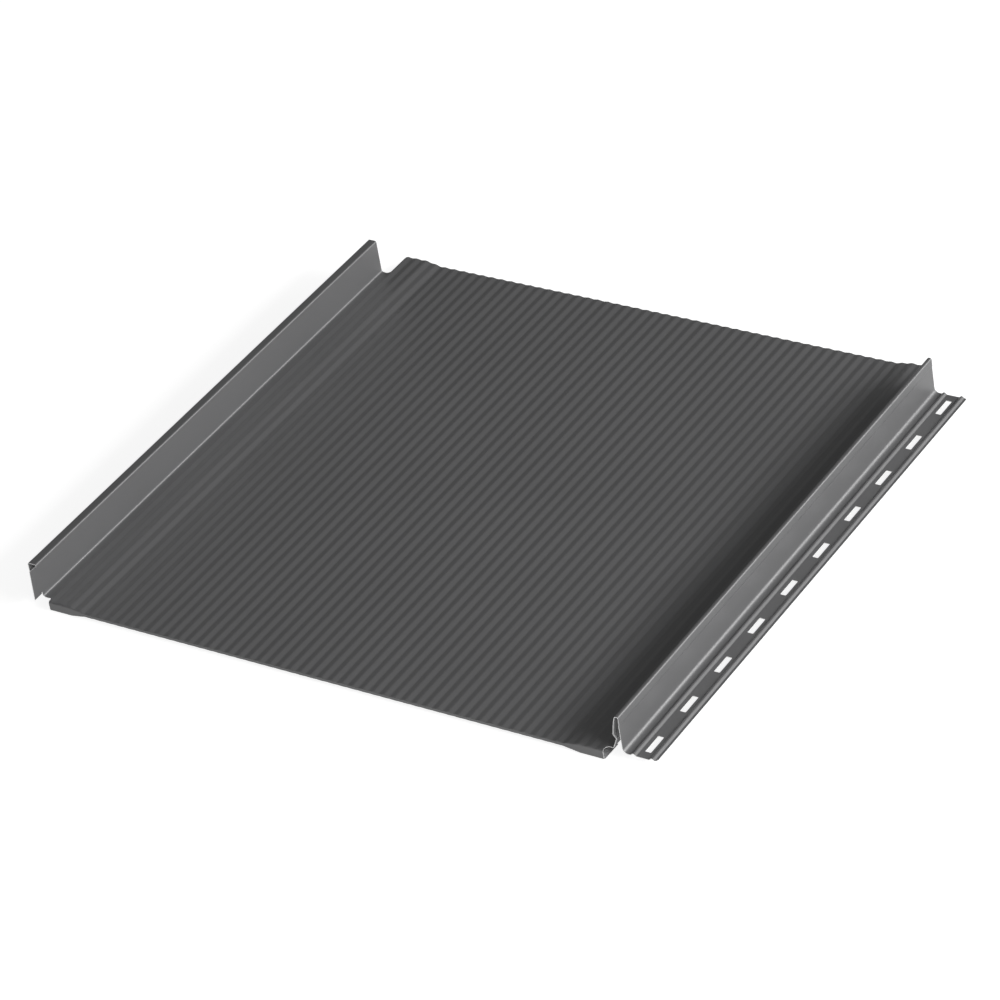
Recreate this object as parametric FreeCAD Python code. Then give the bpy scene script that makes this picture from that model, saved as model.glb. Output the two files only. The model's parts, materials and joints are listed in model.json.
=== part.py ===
import FreeCAD, Part
import math
import os

# One strip of coated sheet, roll-formed along Y.  The drawing datum is the line of fixing
# slots: X = 0 along it, Y = 0 at the front slot, Z = 0 on the top of the fixing flange.
# The finished part is moved so that its origin is the bottom centre of its bounding box.

V = FreeCAD.Vector

SHEET = 0.5            # thickness of the sheet
COVER = 525.8          # from one seam to the next

# Lengths along the panel
RIB_FRONT = -16.8      # front end of the fixing flange and of the male rib
RIB_BACK = 467.0       # back end of both ribs
CAP_FRONT = RIB_FRONT - 1.6        # front end of the female rib
TONGUE_BACK = RIB_BACK + 26.7      # the pan runs on under the next panel up the roof

# Slots in the fixing flange
SLOT_PITCH = 50.0
SLOT_LENGTH = 19.0
SLOT_WIDTH = 4.8
SLOT_EDGE = 5.0        # least metal behind the last slot

# Fixing flange: two beads carry the next panel, with a narrow flat lip outside the second
BEAD_X = (-8.1, 7.4)
BEAD_HALF = 2.3        # half the width of a bead
BEAD_RISE = 1.95       # to the sharp corner before bending
BEAD_FOOT_BEND = 1.0
BEAD_TOP_BEND = 1.2
LIP_WIDTH = 1.95
LIP_FRONT_R, LIP_BACK_R = 3.2, 1.2

# Male rib
WALL_X = -16.1         # outer face of the upright wall
WALL_JOG = 0.35        # the wall steps in by this below JOG_Z
JOG_Z = 24.5
JOG_RUN = 0.6          # half the height of the step
JOG_BEND = 0.8
WALL_FOOT_BEND = 4.5
MALE_TOP = 32.2
MALE_TOP_WIDTH = 3.45
MALE_TOP_BEND = 1.2
SHOULDER_WIDTH = 4.95  # middle line of the sloping back, where it straightens
SHOULDER_BEND = 14.0
CATCH_WIDTH, CATCH_Z = 7.05, 14.9  # widest place of the rib
CATCH_BEND = 1.2
NECK_WIDTH, NECK_Z = 4.65, 11.6    # undercut below the catch
NECK_BEND = 0.9
MALE_FOOT_WIDTH = 8.2
MALE_FOOT_BEND = 1.6

# Female rib: it snaps over the male rib of the panel laid before it
SEAM_SIDE_GAP = 0.05
SEAM_TOP_GAP = 0.2
WEB_X = WALL_X - COVER             # inner face of the web, which lies on the next male wall
CAP_WIDTH = CATCH_WIDTH + SEAM_SIDE_GAP + 2 * SHEET
CAP_TOP = MALE_TOP + SEAM_TOP_GAP + SHEET
CAP_BEND = 1.2
HOOK_DEPTH = 1.5                   # how far the leg reaches in below the catch
HOOK_Z = NECK_Z + 0.6
HOOK_RISE = 2.6
HOOK_BEND = 0.8
LEG_FLARE = 0.6
LEG_END_Z = HOOK_Z - 2.6
WEB_FOOT_BEND = 2.3

# Pan: a shallow wave all the way across, and a raised strip beside each rib
STRIP_TOP = 2.46                   # mean height of the strips
FIELD_TOP = -0.42                  # mean height between them
LEFT_STRIP, LEFT_RAMP = 29.1, 13.5
RIGHT_STRIP, RIGHT_RAMP = 26.5, 14.1
WAVE_PITCH = 9.452
WAVE_START = 45.0                  # from the web to a place where the wave rises through its mean
WAVE_HEIGHT = 0.9                  # between the sharp corners before bending
WAVE_BEND = 5.0
FLAT_BY_WEB, FLAT_BY_RIB = 4.0, 4.8
MALE_FOOT_X = WALL_X - MALE_FOOT_WIDTH
LEFT_SLOPE = (WEB_X + LEFT_STRIP, WEB_X + LEFT_STRIP + LEFT_RAMP)
RIGHT_SLOPE = (MALE_FOOT_X - RIGHT_STRIP - RIGHT_RAMP, MALE_FOOT_X - RIGHT_STRIP)

# Front hem: the pan turned back under itself, so its section is mirrored
HEM_FRONT = RIB_FRONT - 6.1
HEM_DEPTH = 19.9                   # of the layer that is turned under
HEM_HEIGHT = 2.8                   # over both layers, between the strips
HEM_BEND = 1.1                     # outer radius of each bend between the strips
HEM_STRIP_BEND = 2.4               # and at the strips, where there is more room
PAN_FRONT = HEM_FRONT + 2.4        # where the pan runs into the bend

# Edges of the hem and of the tongue, and the notches between them and the ribs
PAN_LEFT = WEB_X + 8.5
PAN_RIGHT = MALE_FOOT_X - 5.7
TONGUE_RIGHT = MALE_FOOT_X - 8.6
TONGUE_CORNER_R = 2.8
NOTCH_LEFT_Y = CAP_FRONT + 0.4
NOTCH_LEFT_R = 2.4
NOTCH_RIGHT_R = 3.4
NOTCH_BACK_R = 3.0

# Tab on the front of the female rib's web
TAB_FOOT_Z = 5.9
TAB_HEAD_Z = CAP_TOP - 1.3
TAB_FOOT_Y = CAP_FRONT - 9.8
TAB_HEAD_Y = CAP_FRONT - 8.2
TAB_RELIEF = 1.0

LIP_X = BEAD_X[1] + BEAD_HALF + LIP_WIDTH
REACH = 2 * CAP_TOP    # how far punches and trimming blocks run clear of the sheet
CLEAR = 1.0            # how far a shape runs on past the face that trims it


def base_height(x):
    """Mean height of the pan's top at x."""
    for high, low in (LEFT_SLOPE, RIGHT_SLOPE[::-1]):
        share = (x - high) / (low - high)
        if 0 < share < 1:
            return STRIP_TOP + share * (FIELD_TOP - STRIP_TOP)
    return FIELD_TOP if LEFT_SLOPE[1] <= x <= RIGHT_SLOPE[0] else STRIP_TOP


# A corner of the sheet's middle line is (x, z, radius it is bent to).

def wave_corners(first, last):
    """Crests and troughs of the pan between two places across it."""
    quarter = WAVE_PITCH / 4
    crest = WEB_X + WAVE_START + quarter
    step = math.ceil((first - crest) / (2 * quarter))
    corners = []
    while crest + 2 * quarter * step <= last:
        x = crest + 2 * quarter * step
        up = 1 if step % 2 == 0 else -1
        corners.append((x, base_height(x) + up * WAVE_HEIGHT / 2 - SHEET / 2, WAVE_BEND))
        step += 1
    return corners


def female_corners():
    half = SHEET / 2
    web = WEB_X + half
    leg = WEB_X + SHEET - CAP_WIDTH + half
    top = CAP_TOP - half
    return [(leg - LEG_FLARE, LEG_END_Z, 0),
            (leg + HOOK_DEPTH, HOOK_Z, HOOK_BEND),
            (leg, HOOK_Z + HOOK_RISE, CAP_BEND),
            (leg, top, CAP_BEND),
            (web, top, CAP_BEND),
            (web, STRIP_TOP - half, WEB_FOOT_BEND)]


def male_corners():
    half = SHEET / 2
    top = MALE_TOP - half
    return [(MALE_FOOT_X, STRIP_TOP - half, MALE_FOOT_BEND),
            (WALL_X - NECK_WIDTH + half, NECK_Z, NECK_BEND),
            (WALL_X - CATCH_WIDTH + half, CATCH_Z, CATCH_BEND),
            (WALL_X - SHOULDER_WIDTH - half, JOG_Z, SHOULDER_BEND),
            (WALL_X - MALE_TOP_WIDTH + half, top, MALE_TOP_BEND),
            (WALL_X - half, top, MALE_TOP_BEND),
            (WALL_X - half, JOG_Z + JOG_RUN, JOG_BEND),
            (WALL_X - half - WALL_JOG, JOG_Z - JOG_RUN, JOG_BEND),
            (WALL_X - half - WALL_JOG, -half, WALL_FOOT_BEND)]


def flange_corners():
    corners = []
    for x in BEAD_X:
        corners += [(x - BEAD_HALF, -SHEET / 2, BEAD_FOOT_BEND),
                    (x, BEAD_RISE - SHEET / 2, BEAD_TOP_BEND),
                    (x + BEAD_HALF, -SHEET / 2, BEAD_FOOT_BEND)]
    return corners + [(LIP_X, -SHEET / 2, 0)]


def bend_path(corners):
    """Straight runs and bends of a middle line: ('line', a, b) or ('arc', centre, a, b, side)."""
    points = [V(x, 0, z) for x, z, radius in corners]
    pieces, here = [], points[0]
    for i in range(1, len(points) - 1):
        radius = corners[i][2]
        u = (points[i] - points[i - 1]).normalize()
        w = (points[i + 1] - points[i]).normalize()
        turn = math.atan2(u.z * w.x - u.x * w.z, u.dot(w))     # positive to the right
        cut = radius * math.tan(abs(turn) / 2)
        start, end = points[i] - u * cut, points[i] + w * cut
        side = 1 if turn > 0 else -1
        centre = start + V(u.z, 0, -u.x) * (side * radius)
        pieces.append(("line", here, start))
        pieces.append(("arc", centre, start, end, side))
        here = end
    pieces.append(("line", here, points[-1]))
    return [p for p in pieces if p[0] == "arc" or (p[2] - p[1]).Length > 1e-6]


def beside(pieces, gap):
    """Edges that run beside a middle line, gap to its left (up, when it runs along +X)."""
    edges = []
    for piece in pieces:
        if piece[0] == "line":
            a, b = piece[1], piece[2]
            d = (b - a).normalize()
            shift = V(-d.z, 0, d.x) * gap
            edges.append(Part.LineSegment(a + shift, b + shift).toShape())
        else:
            centre, a, b, side = piece[1:]
            radius = (a - centre).Length
            scale = (radius + side * gap) / radius
            middle = ((a - centre) + (b - centre)).normalize() * (radius * scale)
            edges.append(Part.Arc(centre + (a - centre) * scale, centre + middle,
                                  centre + (b - centre) * scale).toShape())
    return edges


def ends(edges):
    first, last = edges[0], edges[-1]
    return first.valueAt(first.FirstParameter), last.valueAt(last.LastParameter)


def face_of(edges):
    return Part.Face(Part.Wire(Part.__sortEdges__(edges)))


def sheet_face(pieces):
    """The cut end of the sheet: its middle line, thickened by half the sheet each way."""
    up, down = beside(pieces, SHEET / 2), beside(pieces, -SHEET / 2)
    (a, b), (c, d) = ends(up), ends(down)
    return face_of(up + down + [Part.LineSegment(a, c).toShape(), Part.LineSegment(b, d).toShape()])


def along(face, y0, y1):
    """A face in the XZ plane, drawn out from y0 to y1."""
    moved = face.copy()
    moved.translate(V(0, y0, 0))
    return moved.extrude(V(0, y1 - y0, 0))


def block(x, y, z):
    """A box between two limits on each axis."""
    return Part.makeBox(x[1] - x[0], y[1] - y[0], z[1] - z[0], V(x[0], y[0], z[0]))


def punch(outline):
    """A punch of the given plan outline: (x, y), or (x, y, radius) for a rounded corner."""
    corners = [V(p[0], p[1], -REACH) for p in outline]
    edges, joins = [], []
    for i, p in enumerate(corners):
        radius = outline[i][2] if len(outline[i]) > 2 else 0
        u = (corners[i - 1] - p).normalize()
        w = (corners[(i + 1) % len(corners)] - p).normalize()
        start = end = p
        if radius:
            half = math.acos(u.dot(w)) / 2
            start, end = p + u * (radius / math.tan(half)), p + w * (radius / math.tan(half))
            middle = p + (u + w).normalize() * (radius / math.sin(half) - radius)
            edges.append(Part.Arc(start, middle, end).toShape())
        joins.append((start, end))
    for i in range(len(joins)):
        edges.append(Part.LineSegment(joins[i - 1][1], joins[i][0]).toShape())
    return face_of(edges).extrude(V(0, 0, 2 * REACH))


def punches():
    """Everything cut away from the drawn-out section."""
    left, right = WEB_X - REACH, LIP_X + REACH
    web_face = WEB_X + SHEET + CLEAR / 10
    front, back = HEM_FRONT - REACH, TONGUE_BACK + REACH
    front_cut = punch([(left, front), (right, front), (right, RIB_FRONT + 2 * LIP_FRONT_R),
                       (LIP_X, RIB_FRONT + 2 * LIP_FRONT_R), (LIP_X, RIB_FRONT, LIP_FRONT_R),
                       (PAN_RIGHT, RIB_FRONT, NOTCH_RIGHT_R), (PAN_RIGHT, PAN_FRONT),
                       (PAN_LEFT, PAN_FRONT), (PAN_LEFT, NOTCH_LEFT_Y, NOTCH_LEFT_R),
                       (web_face, NOTCH_LEFT_Y), (web_face, CAP_FRONT), (left, CAP_FRONT)])
    back_cut = punch([(left, back), (left, RIB_BACK), (PAN_LEFT, RIB_BACK, NOTCH_BACK_R),
                      (PAN_LEFT, TONGUE_BACK, TONGUE_CORNER_R),
                      (TONGUE_RIGHT, TONGUE_BACK, TONGUE_CORNER_R),
                      (TONGUE_RIGHT, RIB_BACK, NOTCH_BACK_R), (LIP_X, RIB_BACK, LIP_BACK_R),
                      (LIP_X, RIB_BACK - 2 * LIP_BACK_R), (right, RIB_BACK - 2 * LIP_BACK_R),
                      (right, back)])
    count = math.floor((RIB_BACK - SLOT_EDGE - SLOT_LENGTH / 2) / SLOT_PITCH) + 1
    slots = []
    for i in range(count):
        middle = i * SLOT_PITCH
        slots.append(block((-SLOT_WIDTH / 2, SLOT_WIDTH / 2),
                           (middle - SLOT_LENGTH / 2, middle + SLOT_LENGTH / 2), (-REACH, REACH)))
    return [front_cut, back_cut] + slots


def clip(edges, first, last):
    """What lies between two upright planes of a line across the panel."""
    tool = block((first, last), (-CLEAR, CLEAR), (-REACH, REACH))
    return [kept for edge in edges for kept in edge.common(tool).Edges]


def hem_face(pieces, gap, centre_z, first, last):
    """Closed face between a line beside the pan's middle line and its mirror image."""
    top = clip(beside(pieces, gap), first, last)
    low = [e.mirror(V(0, 0, centre_z), V(0, 0, 1)) for e in top]
    sides = []
    for x in (first, last):
        z = max(v.Point.z for e in top for v in e.Vertexes if abs(v.Point.x - x) < 1e-6)
        sides.append(Part.LineSegment(V(x, 0, z), V(x, 0, 2 * centre_z - z)).toShape())
    return face_of(top + low + sides)


def hem_outline(x, centre_z, inset):
    """Outline of the fold at x, over the crests, set in from the outer face by inset."""
    rise = (base_height(x) - FIELD_TOP) / (STRIP_TOP - FIELD_TOP)
    radius = HEM_BEND + rise * (HEM_STRIP_BEND - HEM_BEND) - inset
    half = base_height(x) + WAVE_HEIGHT / 2 - centre_z - inset
    front, back = HEM_FRONT + inset, HEM_FRONT + HEM_DEPTH + 2 * CLEAR
    turn = radius * (1 - math.sqrt(0.5))

    def at(y, z):
        return V(x, y, centre_z + z)

    return Part.Wire([
        Part.makeLine(at(back, -half), at(back, half)),
        Part.makeLine(at(back, half), at(front + radius, half)),
        Part.Arc(at(front + radius, half), at(front + turn, half - turn),
                 at(front, half - radius)).toShape(),
        Part.makeLine(at(front, half - radius), at(front, radius - half)),
        Part.Arc(at(front, radius - half), at(front + turn, turn - half),
                 at(front + radius, -half)).toShape(),
        Part.makeLine(at(front + radius, -half), at(back, -half))])


def hem_envelope(centre_z, inset):
    """The fold without its waves, in short lengths so that no face runs the whole width.

    Between the strips it is too tight to be round inside.
    """
    places = [PAN_LEFT - 2 * CLEAR, *LEFT_SLOPE]
    x = WEB_X + WAVE_START - WAVE_PITCH / 4 + 2 * WAVE_PITCH        # a trough
    while x < RIGHT_SLOPE[0] - WAVE_PITCH:
        places.append(x)
        x += 2 * WAVE_PITCH
    places += [*RIGHT_SLOPE, PAN_RIGHT + 2 * CLEAR]
    lengths = []
    for a, b in zip(places, places[1:]):
        first, last = hem_outline(a, centre_z, inset), hem_outline(b, centre_z, inset)
        if inset and base_height(a) == base_height(b) == FIELD_TOP:
            lengths.append(block((a, b), (HEM_FRONT + inset, HEM_FRONT + HEM_DEPTH + 2 * CLEAR),
                                 (centre_z - REACH, centre_z + REACH)))
        elif base_height(a) == base_height(b):
            lengths.append(Part.Face(first).extrude(V(b - a, 0, 0)))
        else:
            lengths.append(Part.makeLoft([first, last], True, True))
    return Part.Compound(lengths)


def make_hem(pieces):
    """The fold and the layer turned under; above them the pan itself is already there."""
    centre_z = FIELD_TOP - HEM_HEIGHT / 2
    back = HEM_FRONT + HEM_DEPTH
    outer = along(hem_face(pieces, SHEET / 2, centre_z, PAN_LEFT, PAN_RIGHT),
                  HEM_FRONT - CLEAR, back)
    inner = along(hem_face(pieces, -SHEET / 2, centre_z, PAN_LEFT - CLEAR, PAN_RIGHT + CLEAR),
                  HEM_FRONT - CLEAR, back + CLEAR)
    above = block((PAN_LEFT - CLEAR, PAN_RIGHT + CLEAR), (PAN_FRONT, back + CLEAR),
                  (centre_z, REACH))
    outer = outer.common(hem_envelope(centre_z, 0))
    return outer.cut([inner.common(hem_envelope(centre_z, SHEET)), above])


def make_tab():
    """Flat tab on the front of the web, with a small relief at each inner corner."""
    root = CAP_FRONT - TAB_RELIEF
    outline = [(CAP_FRONT, TAB_FOOT_Z + TAB_RELIEF), (root, TAB_FOOT_Z + TAB_RELIEF),
               (root, TAB_FOOT_Z), (TAB_FOOT_Y, TAB_FOOT_Z), (TAB_HEAD_Y, TAB_HEAD_Z),
               (root, TAB_HEAD_Z), (root, TAB_HEAD_Z - TAB_RELIEF),
               (CAP_FRONT, TAB_HEAD_Z - TAB_RELIEF)]
    points = [V(WEB_X, y, z) for y, z in outline]
    return Part.Face(Part.makePolygon(points + points[:1])).extrude(V(SHEET, 0, 0))


def make_panel():
    female = female_corners()
    pan = wave_corners(WEB_X + FLAT_BY_WEB, MALE_FOOT_X - FLAT_BY_RIB)
    pieces = bend_path(female + pan + male_corners() + flange_corners())
    drawn = along(sheet_face(pieces), HEM_FRONT - CLEAR, TONGUE_BACK + CLEAR)
    pan_pieces = [p for p in pieces if WEB_X < p[1].x < MALE_FOOT_X and abs(p[1].z) < CAP_TOP / 2]
    return drawn.cut(Part.Compound(punches())).fuse([make_hem(pan_pieces), make_tab()])


def main():
    panel = make_panel()
    box = panel.BoundBox
    panel.translate(V(-(box.XMin + box.XMax) / 2, -(box.YMin + box.YMax) / 2, -box.ZMin))
    print("valid", panel.isValid(), "solids", len(panel.Solids), "faces", len(panel.Faces))
    print("volume", round(panel.Volume, 1), "drawing box", box)
    os.makedirs("parts", exist_ok=True)
    panel.exportStep("parts/roof_panel.step")


main()
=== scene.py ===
import json
import math
import bpy
import bmesh
from mathutils import Matrix, Vector


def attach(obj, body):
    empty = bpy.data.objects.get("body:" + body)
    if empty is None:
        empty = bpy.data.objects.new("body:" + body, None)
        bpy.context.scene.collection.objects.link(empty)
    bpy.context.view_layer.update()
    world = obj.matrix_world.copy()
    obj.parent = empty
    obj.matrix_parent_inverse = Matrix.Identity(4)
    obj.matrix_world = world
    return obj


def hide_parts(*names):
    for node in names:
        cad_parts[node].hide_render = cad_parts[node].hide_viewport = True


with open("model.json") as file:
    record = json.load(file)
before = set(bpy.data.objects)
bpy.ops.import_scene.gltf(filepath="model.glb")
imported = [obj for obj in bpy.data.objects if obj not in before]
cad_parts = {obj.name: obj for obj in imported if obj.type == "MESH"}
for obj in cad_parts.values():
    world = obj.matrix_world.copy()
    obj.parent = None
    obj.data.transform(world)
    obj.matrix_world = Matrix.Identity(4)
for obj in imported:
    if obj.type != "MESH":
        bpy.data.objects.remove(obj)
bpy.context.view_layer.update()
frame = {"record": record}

# Sizes of the panel, in millimetres from the drawing datum: X = 0 along the line of fixing
# slots, Y = 0 at the front slot, Z = 0 on the top of the fixing flange.
SHEET = 0.5
COVER = 525.8

# Ends of the snap rib, of the cap rib and of the back tongue, along the seams
RIB_FRONT, RIB_BACK = -16.8, 467.0
CAP_LEAD, TONGUE_LENGTH = 1.6, 26.7
CAP_FRONT = RIB_FRONT - CAP_LEAD
TONGUE_BACK = RIB_BACK + TONGUE_LENGTH

# Slots in the fixing flange
SLOT_COUNT, SLOT_PITCH = 10, 50.0
SLOT_LENGTH, SLOT_WIDTH, SLOT_CORNER = 19.0, 4.8, 0.4

# Beads along the flange, and its lip
BEAD_X = (-8.1, 7.4)
BEAD_HALF, BEAD_RISE = 2.3, 1.95
BEAD_FOOT_BEND, BEAD_TOP_BEND = 1.0, 1.2
LIP_WIDTH = 1.95
LIP_X = BEAD_X[1] + BEAD_HALF + LIP_WIDTH
LIP_FRONT_R, LIP_BACK_R = 3.2, 1.2

# Snap rib: its widths are taken from the wall's outer face
WALL_X, WALL_JOG, JOG_Z, JOG_RUN, JOG_BEND = -16.1, 0.35, 24.5, 0.6, 0.8
WALL_FOOT_BEND = 4.5
MALE_TOP, MALE_TOP_WIDTH, MALE_TOP_BEND = 32.2, 3.45, 1.2
SHOULDER_WIDTH, SHOULDER_BEND = 4.95, 14.0
CATCH_WIDTH, CATCH_Z, CATCH_BEND = 7.05, 14.9, 1.2
NECK_WIDTH, NECK_Z, NECK_BEND = 4.65, 11.6, 0.9
MALE_FOOT_WIDTH, MALE_FOOT_BEND = 8.2, 1.6

# Cap rib: it goes over the snap rib of the next panel
SEAM_SIDE_CLEARANCE, SEAM_TOP_CLEARANCE = 0.05, 0.2
WEB_X = WALL_X - COVER
CAP_WIDTH = CATCH_WIDTH + SEAM_SIDE_CLEARANCE + 2 * SHEET
CAP_TOP = MALE_TOP + SEAM_TOP_CLEARANCE + SHEET
CAP_BEND = 1.2
HOOK_DEPTH, HOOK_Z, HOOK_RISE, HOOK_BEND = 1.5, NECK_Z + 0.6, 2.6, 0.8
LEG_FLARE, LEG_END_Z = 0.6, NECK_Z - 2.0
WEB_FOOT_BEND = 2.3

# Pan: a raised strip beside each rib, a slope down from it, and waves all over
STRIP_TOP, FIELD_TOP = 2.46, -0.42
MALE_FOOT_X = WALL_X - MALE_FOOT_WIDTH
LEFT_SLOPE = (WEB_X + 29.1, WEB_X + 42.6)
RIGHT_SLOPE = (MALE_FOOT_X - 40.6, MALE_FOOT_X - 26.5)
WAVE_PITCH, WAVE_START, WAVE_HEIGHT, WAVE_BEND = 9.452, 45.0, 0.9, 5.0
FLAT_BY_WEB, FLAT_BY_RIB = 4.0, 4.8

# Front hem: the pan turned back under itself, mirrored
HEM_FRONT = RIB_FRONT - 6.1
HEM_BACK = HEM_FRONT + 19.9
HEM_HEIGHT = 2.8
HEM_BEND, HEM_STRIP_BEND = 1.1, 2.4
HEM_LEAST_FLAT = 0.1
PAN_FRONT = HEM_FRONT + 2.4

# Plan of the pan, with its notches beside the ribs
PAN_LEFT, PAN_RIGHT = WEB_X + 8.5, MALE_FOOT_X - 5.7
TONGUE_RIGHT = MALE_FOOT_X - 8.6
TONGUE_CORNER_R = 2.8
NOTCH_LEFT_Y = CAP_FRONT + 0.4
NOTCH_LEFT_R, NOTCH_RIGHT_R, NOTCH_BACK_R = 2.4, 3.4, 3.0
WEB_SIDE = WEB_X + SHEET + 0.1

# Flat tab on the front of the web
TAB_FOOT_Z, TAB_HEAD_Z = 5.9, CAP_TOP - 1.3
TAB_FOOT_Y, TAB_HEAD_Y = CAP_FRONT - 9.8, CAP_FRONT - 8.2
TAB_RELIEF = 1.0

# Fineness of the mesh, and the limits for telling its parts
ARC_STEP, SHARP_ANGLE = math.radians(7), math.radians(40)
CORNER_STEPS = 6
SAME_X, SAME_PLACE = 1e-4, 1e-3
FLAT_BELOW = CAP_TOP / 3
FLANGE_REACH_Z = 1
WEB_LEAST_DROP = 10

# The slot mount gives the datum's place in the row frame: it lies halfway along the slots.
slots = next(m for m in frame["record"]["mounts"] if m["name"] == "fixing_slots")
DATUM = Vector(slots["pos_m"]) - Vector((0, (SLOT_COUNT - 1) * SLOT_PITCH / 2000, 0))


def place(x, y, z):
    """A point in drawing millimetres, in the row frame."""
    return DATUM + Vector((x, y, z)) / 1000


# The sheet's section

def base_height(x):
    """Mean height of the pan's top at x."""
    for high, low in (LEFT_SLOPE, RIGHT_SLOPE[::-1]):
        share = (x - high) / (low - high)
        if 0 < share < 1:
            return STRIP_TOP + share * (FIELD_TOP - STRIP_TOP)
    return FIELD_TOP if LEFT_SLOPE[1] <= x <= RIGHT_SLOPE[0] else STRIP_TOP


def wave_corners(first, last):
    """Crests and troughs of the waves between two places across the panel."""
    quarter = WAVE_PITCH / 4
    crest = WEB_X + WAVE_START + quarter
    step = math.ceil((first - crest) / (2 * quarter))
    corners = []
    while crest + 2 * quarter * step <= last:
        x = crest + 2 * quarter * step
        up = 1 if step % 2 == 0 else -1
        corners.append((x, base_height(x) + up * WAVE_HEIGHT / 2 - SHEET / 2, WAVE_BEND))
        step += 1
    return corners


def section_corners():
    """Corners of the middle line, (x, z, bend radius), from the cap's free leg to the lip."""
    half = SHEET / 2
    web, leg = WEB_X + half, WEB_X + SHEET - CAP_WIDTH + half
    cap, male = CAP_TOP - half, MALE_TOP - half
    corners = [(leg - LEG_FLARE, LEG_END_Z, 0),
               (leg + HOOK_DEPTH, HOOK_Z, HOOK_BEND),
               (leg, HOOK_Z + HOOK_RISE, CAP_BEND),
               (leg, cap, CAP_BEND),
               (web, cap, CAP_BEND),
               (web, STRIP_TOP - half, WEB_FOOT_BEND)]
    corners += wave_corners(WEB_X + FLAT_BY_WEB, MALE_FOOT_X - FLAT_BY_RIB)
    corners += [(MALE_FOOT_X, STRIP_TOP - half, MALE_FOOT_BEND),
                (WALL_X - NECK_WIDTH + half, NECK_Z, NECK_BEND),
                (WALL_X - CATCH_WIDTH + half, CATCH_Z, CATCH_BEND),
                (WALL_X - SHOULDER_WIDTH - half, JOG_Z, SHOULDER_BEND),
                (WALL_X - MALE_TOP_WIDTH + half, male, MALE_TOP_BEND),
                (WALL_X - half, male, MALE_TOP_BEND),
                (WALL_X - half, JOG_Z + JOG_RUN, JOG_BEND),
                (WALL_X - half - WALL_JOG, JOG_Z - JOG_RUN, JOG_BEND),
                (WALL_X - half - WALL_JOG, -half, WALL_FOOT_BEND)]
    for x in BEAD_X:
        corners += [(x - BEAD_HALF, -half, BEAD_FOOT_BEND),
                    (x, BEAD_RISE - half, BEAD_TOP_BEND),
                    (x + BEAD_HALF, -half, BEAD_FOOT_BEND)]
    return corners + [(LIP_X, -half, 0)]


def bent_line(corners):
    """Points of the middle line, with each corner rounded to its radius."""
    points = [Vector(corner[:2]) for corner in corners]
    line = [points[0]]
    for i in range(1, len(points) - 1):
        radius = corners[i][2]
        u = (points[i] - points[i - 1]).normalized()
        w = (points[i + 1] - points[i]).normalized()
        turn = math.atan2(u.x * w.y - u.y * w.x, u.dot(w))
        start = points[i] - u * (radius * math.tan(abs(turn) / 2))
        side = 1 if turn > 0 else -1
        centre = start + Vector((-u.y, u.x)) * (side * radius)
        steps = max(2, math.ceil(abs(turn) / ARC_STEP))
        for k in range(steps + 1):
            line.append(centre + Matrix.Rotation(turn * k / steps, 2) @ (start - centre))
    line.append(points[-1])
    return line


def notch_places():
    """Where the plan's rounded corners need a point of their own, across the panel."""
    arcs = ((PAN_LEFT - NOTCH_LEFT_R, NOTCH_LEFT_R), (PAN_RIGHT + NOTCH_RIGHT_R, -NOTCH_RIGHT_R),
            (LIP_X - LIP_FRONT_R, LIP_FRONT_R), (LIP_X - LIP_BACK_R, LIP_BACK_R),
            (PAN_LEFT - NOTCH_BACK_R, NOTCH_BACK_R), (TONGUE_RIGHT + NOTCH_BACK_R, -NOTCH_BACK_R),
            (PAN_LEFT + TONGUE_CORNER_R, -TONGUE_CORNER_R),
            (TONGUE_RIGHT - TONGUE_CORNER_R, TONGUE_CORNER_R))
    places = []
    for x, reach in arcs:
        for k in range(CORNER_STEPS + 1):
            places.append(x + reach * math.sin(math.pi / 2 * k / CORNER_STEPS))
    half = SLOT_WIDTH / 2
    return places + [-half, -half + SLOT_CORNER, half - SLOT_CORNER, half]


def columns():
    """The middle line, with the extra points that the plan's corners need."""
    line = bent_line(section_corners())
    result = [line[0]]
    extra = sorted(notch_places())
    for a, b in zip(line, line[1:]):
        flat = abs(b.x - a.x) > abs(b.y - a.y) and b.x > a.x and max(a.y, b.y) < FLAT_BELOW
        between = [x for x in extra if flat and a.x + SAME_X < x < b.x - SAME_X]
        between = [x for i, x in enumerate(between) if i == 0 or x - between[i - 1] > SAME_X]
        result += [a.lerp(b, (x - a.x) / (b.x - a.x)) for x in between]
        result.append(b)
    return result


# Plan of the panel: where each column starts and ends

def rounded(x, start, radius):
    """Height of a quarter circle over its corner, at x: 0 at start, radius at start + radius."""
    t = min(max((x - start) / radius, 0.0), 1.0)
    return abs(radius) * math.sqrt(max(0.0, 1 - (1 - t) ** 2))


def front_of(x):
    """Front end of the column at x, without the hem and the tab."""
    if x < PAN_LEFT:
        if x < WEB_SIDE:
            return CAP_FRONT
        return NOTCH_LEFT_Y - NOTCH_LEFT_R + rounded(x, PAN_LEFT, -NOTCH_LEFT_R)
    if x <= PAN_RIGHT:
        return PAN_FRONT
    if x > LIP_X - LIP_FRONT_R:
        return RIB_FRONT + LIP_FRONT_R - rounded(x, LIP_X, -LIP_FRONT_R)
    return RIB_FRONT - NOTCH_RIGHT_R + rounded(x, PAN_RIGHT, NOTCH_RIGHT_R)


def back_of(x):
    """Back end of the column at x, without the tongue."""
    foot = RIB_BACK + NOTCH_BACK_R
    if x < PAN_LEFT:
        return foot - rounded(x, PAN_LEFT, -NOTCH_BACK_R)
    if x <= TONGUE_RIGHT:
        return foot
    if x > LIP_X - LIP_BACK_R:
        return RIB_BACK - LIP_BACK_R + rounded(x, LIP_X, -LIP_BACK_R)
    return foot - rounded(x, TONGUE_RIGHT, NOTCH_BACK_R)


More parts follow.
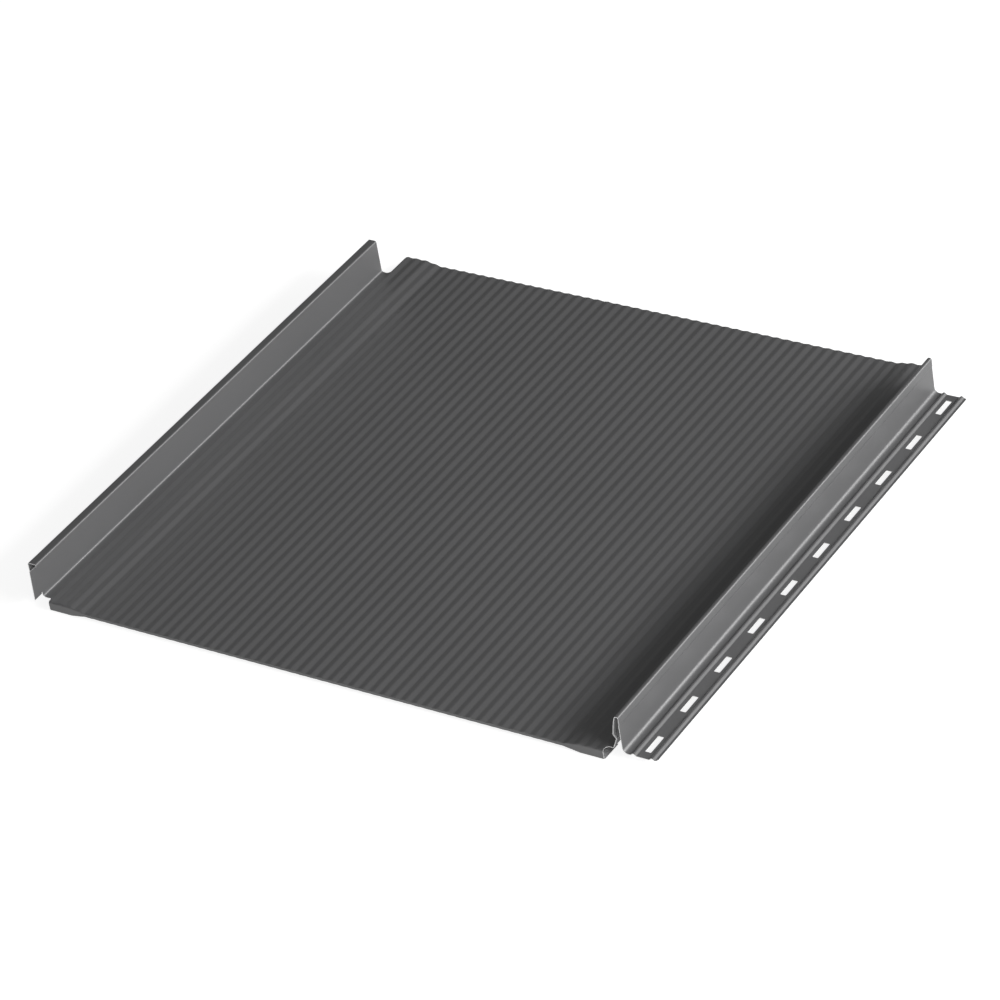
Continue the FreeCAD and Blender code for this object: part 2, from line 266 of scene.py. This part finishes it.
def tongue_back_of(x):
    """Back end of the tongue at x."""
    corner = TONGUE_BACK - TONGUE_CORNER_R
    if x < (PAN_LEFT + TONGUE_RIGHT) / 2:
        return corner + rounded(x, PAN_LEFT, TONGUE_CORNER_R)
    return corner + rounded(x, TONGUE_RIGHT, -TONGUE_CORNER_R)


def inner_rows():
    """Stations along the panel that every column has, between its two ends."""
    rows = []
    for i in range(SLOT_COUNT):
        low, high = i * SLOT_PITCH - SLOT_LENGTH / 2, i * SLOT_PITCH + SLOT_LENGTH / 2
        rows += [low, low + SLOT_CORNER, high - SLOT_CORNER, high]
    return rows


def hem_rows(x, z):
    """The fold of the column at x and height z: (y, z) from the pan's front, round and back."""
    low = 2 * (FIELD_TOP - HEM_HEIGHT / 2) - z
    rise = (base_height(x) - FIELD_TOP) / (STRIP_TOP - FIELD_TOP)
    nose = HEM_FRONT + SHEET / 2
    bend = min(HEM_BEND + rise * (HEM_STRIP_BEND - HEM_BEND) - SHEET / 2,
               PAN_FRONT - nose - HEM_LEAST_FLAT)
    # The bend's outline runs over the crests: elsewhere a column meets it lower down.
    below = max(base_height(x) + WAVE_HEIGHT / 2 - SHEET / 2 - z, 0.0)
    first = math.acos(max(1 - below / bend, 0.0))
    meets = nose + bend - bend * math.sin(first)
    rows = [((meets + PAN_FRONT) / 2, z)]
    for sign, level in ((1, z), (-1, low)):
        turn = []
        for k in range(CORNER_STEPS + 1):
            angle = first + (math.pi / 2 - first) * k / CORNER_STEPS
            turn.append((nose + bend - bend * math.sin(angle),
                         level + sign * (below - bend + bend * math.cos(angle))))
        rows += turn if sign == 1 else turn[::-1]
    return rows + [((nose + HEM_BACK) / 2, low), (HEM_BACK, low)]


def add_grid(mesh, lines):
    """Quads between neighbouring lines of vertices of one length."""
    for first, second in zip(lines, lines[1:]):
        for k in range(len(first) - 1):
            mesh.faces.new((first[k], second[k], second[k + 1], first[k + 1]))


def in_slot(x, y):
    """Whether a point of the flange lies in a slot, its corners included."""
    row = round(y / SLOT_PITCH)
    return (abs(x) < SLOT_WIDTH / 2 and abs(y - row * SLOT_PITCH) < SLOT_LENGTH / 2
            and 0 <= row < SLOT_COUNT)


def punch_slots(mesh):
    """Opens the slots, and leaves the small corner of metal at each of their ends."""
    half_w, half_l = SLOT_WIDTH / 2, SLOT_LENGTH / 2
    doomed, corners = [], []
    for face in mesh.faces:
        middle = (face.calc_center_median() - DATUM) * 1000
        if not in_slot(middle.x, middle.y) or abs(middle.z) > FLANGE_REACH_Z:
            continue
        doomed.append(face)
        centre_y = round(middle.y / SLOT_PITCH) * SLOT_PITCH
        along = abs(middle.y - centre_y)
        if abs(middle.x) > half_w - SLOT_CORNER and along > half_l - SLOT_CORNER:
            centre = place(0, centre_y, middle.z)
            inner = min(face.verts, key=lambda v: (v.co - centre).length)
            corners.append([v for v in face.verts if v is not inner])
    bmesh.ops.delete(mesh, geom=doomed, context="FACES_ONLY")
    for verts in corners:
        mesh.faces.new(verts)


def add_tab(mesh, web):
    """Flat tab on the front of the web. web is (height, front vertex) of its columns, upwards."""
    root = CAP_FRONT - TAB_RELIEF
    x = WEB_X + SHEET / 2

    def front(z):
        share = (z - TAB_FOOT_Z) / (TAB_HEAD_Z - TAB_FOOT_Z)
        return TAB_FOOT_Y + share * (TAB_HEAD_Y - TAB_FOOT_Y)

    heights, neck = zip(*web)
    start = [mesh.verts.new(place(x, root, z)) for z in heights]
    foot, head = [mesh.verts.new(place(x, root, z)) for z in (TAB_FOOT_Z, TAB_HEAD_Z)]
    tip = [mesh.verts.new(place(x, front(z), z)) for z in (TAB_FOOT_Z, *heights, TAB_HEAD_Z)]
    add_grid(mesh, [neck, start])
    add_grid(mesh, [[foot, *start, head], tip])


def panel_mesh():
    """The middle surface of the whole sheet."""
    mesh = bmesh.new()
    line = columns()
    # The web needs a point at each root of its tab. It is the one long drop of the line there.
    low, high = TAB_FOOT_Z + TAB_RELIEF, TAB_HEAD_Z - TAB_RELIEF
    web = WEB_X + SHEET / 2
    at = next(i for i, p in enumerate(line)
              if abs(p.x - web) < SAME_PLACE and line[i + 1].y < p.y - WEB_LEAST_DROP)
    line[at + 1:at + 1] = [Vector((web, high)), Vector((web, low))]
    rows = inner_rows()
    main, hem, tongue, tab = [], [], [], []
    # The pan starts below both roots, and ends at the snap rib's foot.
    pan = range(at + 3, next(i for i, p in enumerate(line) if p.x > MALE_FOOT_X))
    for i, p in enumerate(line):
        ys = [front_of(p.x)] + rows + [back_of(p.x)]
        column = [mesh.verts.new(place(p.x, y, p.y)) for y in ys]
        main.append(column)
        if abs(p.x - web) < SAME_PLACE and low - SAME_PLACE <= p.y <= high + SAME_PLACE:
            tab.append((p.y, column[0]))
        if i in pan and PAN_LEFT - SAME_X < p.x < PAN_RIGHT + SAME_X:
            fold = [mesh.verts.new(place(p.x, y, z)) for y, z in hem_rows(p.x, p.y)]
            hem.append([column[0]] + fold)
        if i in pan and PAN_LEFT - SAME_X < p.x < TONGUE_RIGHT + SAME_X:
            end = mesh.verts.new(place(p.x, tongue_back_of(p.x), p.y))
            tongue.append([column[-1], end])
    add_grid(mesh, main)
    add_grid(mesh, [fold[::-1] for fold in hem])
    add_grid(mesh, tongue)
    add_tab(mesh, sorted(tab, key=lambda item: item[0]))
    punch_slots(mesh)
    bmesh.ops.recalc_face_normals(mesh, faces=mesh.faces)
    return mesh


def apply_modifiers(piece):
    depsgraph = bpy.context.evaluated_depsgraph_get()
    mesh = bpy.data.meshes.new_from_object(piece.evaluated_get(depsgraph))
    piece.modifiers.clear()
    piece.data = mesh


def mark_sharp(mesh, angle):
    """Smooth faces, with sharp edges where they turn by more than the angle."""
    work = bmesh.new()
    work.from_mesh(mesh)
    for face in work.faces:
        face.smooth = True
    for edge in work.edges:
        edge.smooth = len(edge.link_faces) == 2 and edge.calc_face_angle() < angle
    work.to_mesh(mesh)
    work.free()


# Materials

DARK_COAT, BACK_COAT = (0.1, 0.1, 0.102), (0.45, 0.45, 0.455)
DARK_SPREAD, BACK_SPREAD = 0.03, 0.04
DARK_ROUGHNESS, BACK_ROUGHNESS, ROUGHNESS_SPREAD = 0.4, 0.5, 0.05
COAT_SPECULAR, COAT_IOR = 1.0, 1.6
CLOUD_SCALE, GRAIN_SCALE, MARK_SCALE = 9.0, 2600.0, 1500.0
CLOUD_LOW, CLOUD_HIGH = 0.3, 0.7
GRAIN_STRENGTH, GRAIN_DEPTH = 0.25, 0.00005
EDGE_SHADES = (0.85, 1.0)
EDGE_METALLIC, EDGE_ROUGHNESS = 0.5, 0.4


def node(tree, kind, **settings):
    """A new node; each setting is one of its sockets by name, or else a property."""
    made = tree.nodes.new(kind)
    for name, value in settings.items():
        if name in made.inputs:
            made.inputs[name].default_value = value
        else:
            setattr(made, name, value)
    return made


def ranged(tree, source, low, high, first=0.0, last=1.0):
    """Brings a source that runs from first to last to run from low to high."""
    made = node(tree, "ShaderNodeMapRange",
                **{"From Min": first, "From Max": last, "To Min": low, "To Max": high})
    tree.links.new(source, made.inputs["Value"])
    return made.outputs["Result"]


def material(name):
    made = bpy.data.materials.new(name)
    made.use_nodes = True
    shader = made.node_tree.nodes["Principled BSDF"]
    return made, made.node_tree, shader


def painted(name, colour, spread, roughness):
    """Coil coating: even colour with a faint cloud, and a fine grain."""
    made, tree, shader = material(name)
    link = tree.links.new
    where = node(tree, "ShaderNodeTexCoord").outputs["Object"]
    cloud = node(tree, "ShaderNodeTexNoise", Scale=CLOUD_SCALE, Detail=3.0)
    fine = node(tree, "ShaderNodeTexNoise", Scale=GRAIN_SCALE, Detail=2.0)
    link(where, cloud.inputs["Vector"])
    link(where, fine.inputs["Vector"])
    shades = node(tree, "ShaderNodeMath", operation="MULTIPLY")
    link(ranged(tree, cloud.outputs["Fac"], 1 - spread, 1 + spread, CLOUD_LOW, CLOUD_HIGH),
         shades.inputs[0])
    link(ranged(tree, fine.outputs["Fac"], 1 - 2 * spread, 1 + 2 * spread), shades.inputs[1])
    tint = node(tree, "ShaderNodeVectorMath", operation="SCALE")
    tint.inputs[0].default_value = colour
    link(shades.outputs["Value"], tint.inputs["Scale"])
    link(tint.outputs["Vector"], shader.inputs["Base Color"])
    link(ranged(tree, fine.outputs["Fac"], roughness - ROUGHNESS_SPREAD,
                roughness + ROUGHNESS_SPREAD), shader.inputs["Roughness"])
    bump = node(tree, "ShaderNodeBump", Strength=GRAIN_STRENGTH, Distance=GRAIN_DEPTH)
    link(fine.outputs["Fac"], bump.inputs["Height"])
    link(bump.outputs["Normal"], shader.inputs["Normal"])
    return made, shader


def coat_material():
    """The dark top side, a little glossier than the underside."""
    made, shader = painted("dark_coat", DARK_COAT, DARK_SPREAD, DARK_ROUGHNESS)
    shader.inputs["Specular IOR Level"].default_value = COAT_SPECULAR
    shader.inputs["IOR"].default_value = COAT_IOR
    return made


def back_material():
    """The lighter backing coat of the underside."""
    return painted("back_coat", BACK_COAT, BACK_SPREAD, BACK_ROUGHNESS)[0]


def edge_material():
    """Cut edge of the sheet: bare zinc-coated steel with fine shear marks across it."""
    made, tree, shader = material("cut_edge")
    where = node(tree, "ShaderNodeTexCoord").outputs["Object"]
    marks = node(tree, "ShaderNodeTexNoise", Scale=MARK_SCALE, Detail=2.0)
    tree.links.new(where, marks.inputs["Vector"])
    tree.links.new(ranged(tree, marks.outputs["Fac"], *EDGE_SHADES), shader.inputs["Base Color"])
    shader.inputs["Metallic"].default_value = EDGE_METALLIC
    shader.inputs["Roughness"].default_value = EDGE_ROUGHNESS
    return made


def make_panel():
    """The sheet, thickened both ways: dark on top, lighter below, bare at its cut edges."""
    mesh = panel_mesh()
    data = bpy.data.meshes.new("panel_sheet")
    mesh.to_mesh(data)
    mesh.free()
    piece = bpy.data.objects.new("panel_sheet", data)
    bpy.context.scene.collection.objects.link(piece)
    for made in (coat_material(), back_material(), edge_material()):
        data.materials.append(made)
    solid = piece.modifiers.new("thickness", "SOLIDIFY")
    solid.thickness = SHEET / 1000
    solid.offset = 0
    solid.use_even_offset = True
    solid.use_quality_normals = True
    solid.material_offset = 1
    solid.material_offset_rim = 2
    apply_modifiers(piece)
    mark_sharp(piece.data, SHARP_ANGLE)
    weighted = piece.modifiers.new("normals", "WEIGHTED_NORMAL")
    weighted.keep_sharp = True
    weighted.weight = 100
    apply_modifiers(piece)
    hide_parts("roof_panel")
    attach(piece, "root")


# Studio

CAMERA_PLACE = Vector((1.82696, -2.36857, 2.06110))
CAMERA_AIM = Vector((0.01279, -0.02907, 0.02063))
CAMERA_ROLL = math.radians(-10.264)
CAMERA_LENS = 167.46
HALF_PIXEL = 0.5 / 1000
CAMERA_CLIP_END = 50.0

# Lamps: the turn round the panel and the rise over the floor, in degrees, and the power
LIGHTS = {"low_front": (-75, 8, 24), "front": (-30, 28, 6), "middle": (0, 28, 80),
          "low_back": (30, 10, 26), "back": (52, 20, 14)}
LIGHT_REACH, LIGHT_SIZE, LIGHT_AIM = 3.0, (2.4, 0.8), Vector((0, 0, 0))
AMBIENT = 0.147
WHITE = (1, 1, 1, 1)

FLOOR_REACH, FLOOR_COLOUR = 15, (0.45, 0.45, 0.45, 1)
FLOOR_GLOW, FLOOR_MIRRORED = 0.85, 0.5


def make_camera():
    """Stands and aims as the photo's camera did."""
    data = bpy.data.cameras.new("camera")
    data.sensor_width = 36.0
    data.lens = CAMERA_LENS
    data.clip_end = CAMERA_CLIP_END
    data.shift_x, data.shift_y = -HALF_PIXEL, HALF_PIXEL
    camera = bpy.data.objects.new("camera", data)
    bpy.context.scene.collection.objects.link(camera)
    turn = (CAMERA_AIM - CAMERA_PLACE).to_track_quat("-Z", "Y").to_matrix().to_4x4()
    roll = Matrix.Rotation(CAMERA_ROLL, 4, "Z")
    camera.matrix_world = Matrix.Translation(CAMERA_PLACE) @ turn @ roll
    bpy.context.scene.camera = camera


def area_light(name, turn, rise, power):
    """A wide soft lamp that looks at the panel's middle."""
    turn, rise = math.radians(turn), math.radians(rise)
    way = Vector((math.cos(rise) * math.cos(turn), math.cos(rise) * math.sin(turn),
                  math.sin(rise)))
    data = bpy.data.lights.new(name, "AREA")
    data.shape = "RECTANGLE"
    data.size, data.size_y = LIGHT_SIZE
    data.energy = power
    light = bpy.data.objects.new(name, data)
    bpy.context.scene.collection.objects.link(light)
    light.location = LIGHT_REACH * way
    light.rotation_euler = (LIGHT_AIM - LIGHT_REACH * way).to_track_quat("-Z", "Y").to_euler()


def make_floor():
    """Pale floor that keeps the shadow. It glows for the camera's rays and for those through
    glass, and less for mirrored ones, so that the rib walls stay even."""
    data = bpy.data.meshes.new("floor")
    work = bmesh.new()
    bmesh.ops.create_grid(work, x_segments=1, y_segments=1, size=FLOOR_REACH)
    work.to_mesh(data)
    work.free()
    floor = bpy.data.objects.new("floor", data)
    bpy.context.scene.collection.objects.link(floor)
    made, tree, shader = material("floor_white")
    shader.inputs["Base Color"].default_value = FLOOR_COLOUR
    shader.inputs["Roughness"].default_value = 1.0
    shader.inputs["Specular IOR Level"].default_value = 0.0
    glow = node(tree, "ShaderNodeEmission", Strength=FLOOR_GLOW)
    total = node(tree, "ShaderNodeAddShader")
    seen = node(tree, "ShaderNodeLightPath")
    mirrored = node(tree, "ShaderNodeMath", operation="MULTIPLY")
    either = node(tree, "ShaderNodeMath", operation="MAXIMUM")
    most = node(tree, "ShaderNodeMath", operation="MAXIMUM")
    mix = node(tree, "ShaderNodeMixShader")
    link = tree.links.new
    link(seen.outputs["Is Glossy Ray"], mirrored.inputs[0])
    mirrored.inputs[1].default_value = FLOOR_MIRRORED
    link(seen.outputs["Is Camera Ray"], either.inputs[0])
    link(mirrored.outputs["Value"], either.inputs[1])
    link(either.outputs["Value"], most.inputs[0])
    link(seen.outputs["Is Transmission Ray"], most.inputs[1])
    link(shader.outputs["BSDF"], total.inputs[0])
    link(glow.outputs["Emission"], total.inputs[1])
    link(most.outputs["Value"], mix.inputs["Fac"])
    link(shader.outputs["BSDF"], mix.inputs[1])
    link(total.outputs["Shader"], mix.inputs[2])
    link(mix.outputs["Shader"], tree.nodes["Material Output"].inputs["Surface"])
    data.materials.append(made)


def make_world():
    """White to the camera's rays, dim as light."""
    world = bpy.data.worlds.new("studio")
    bpy.context.scene.world = world
    world.use_nodes = True
    tree = world.node_tree
    link = tree.links.new
    ambient = tree.nodes["Background"]
    ambient.inputs["Color"].default_value = WHITE
    ambient.inputs["Strength"].default_value = AMBIENT
    white = node(tree, "ShaderNodeBackground", Strength=1.0)
    white.inputs["Color"].default_value = WHITE
    seen = node(tree, "ShaderNodeLightPath")
    mix = node(tree, "ShaderNodeMixShader")
    link(seen.outputs["Is Camera Ray"], mix.inputs["Fac"])
    link(ambient.outputs["Background"], mix.inputs[1])
    link(white.outputs["Background"], mix.inputs[2])
    link(mix.outputs["Shader"], tree.nodes["World Output"].inputs["Surface"])


make_camera()
make_floor()
make_world()
for name, (turn, rise, power) in LIGHTS.items():
    area_light(name, turn, rise, power)
make_panel()

bpy.context.scene.view_settings.view_transform = "Standard"
